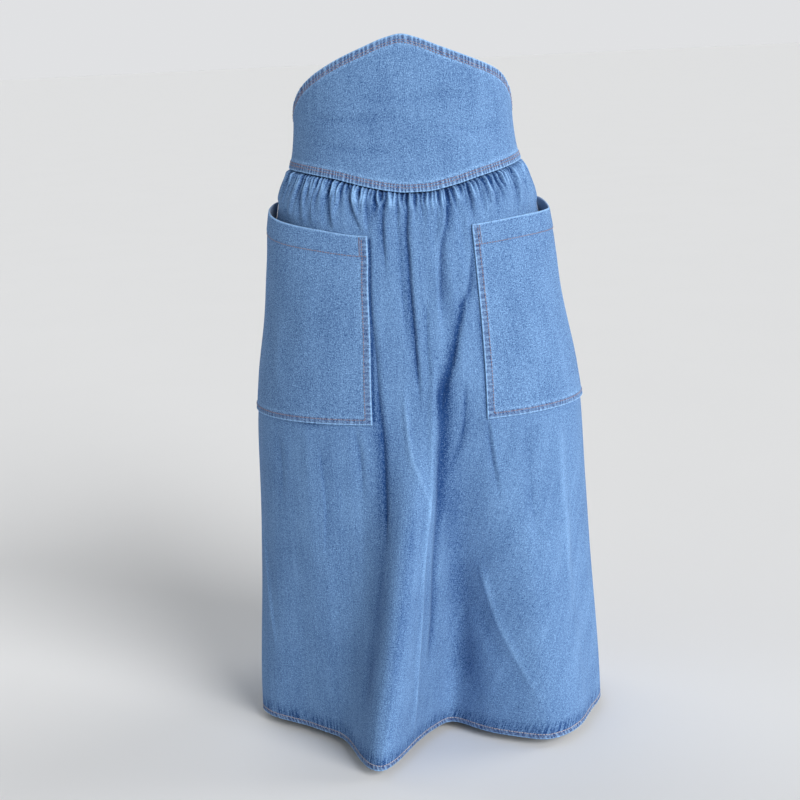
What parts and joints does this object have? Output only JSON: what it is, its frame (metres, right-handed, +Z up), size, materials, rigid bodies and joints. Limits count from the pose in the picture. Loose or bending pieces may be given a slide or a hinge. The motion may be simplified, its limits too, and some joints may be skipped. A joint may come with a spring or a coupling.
{
  "type": "denim skirt",
  "caption": "Worn, filled-out gathered midi skirt in blue denim: peaked yoke waist, patch pockets at the sides, flared folds to a stitched hem, zip at the back.",
  "frame": {"origin": "middle of the waist, where the wearer holds the skirt up", "axes": "+Z up, the front faces -Y, +X to the right as seen from the front"},
  "size_m": [0.4296, 0.4079, 0.829],
  "materials": {
    "denim": "washed mid-blue twill with pale wear along edges",
    "topstitch": "rust-brown polyester thread",
    "hem_stitch": "pale faded thread",
    "zip_tape": "dark blue woven tape",
    "zip_metal": "aged brass"
  },
  "bodies": {
    "skirt": {"yoke_front": "denim", "yoke_back_left": "denim", "yoke_back_right": "denim", "skirt_front": "denim", "skirt_back_left": "denim", "skirt_back_right": "denim", "pocket_left": "denim", "pocket_right": "denim", "zip_tape_left": "zip_tape", "zip_tape_right": "zip_tape", "zip_slider": "zip_metal"},
    "pull_tab": {"zip_pull": "zip_metal"}
  },
  "joints": [
    {"name": "pull_swing", "type": "hinge", "parent": "skirt", "child": "pull_tab", "pos_m": [0, 0.09272, -0.00536], "axis": [1, 0, 0], "range_deg": [0, 150]}
  ]
}
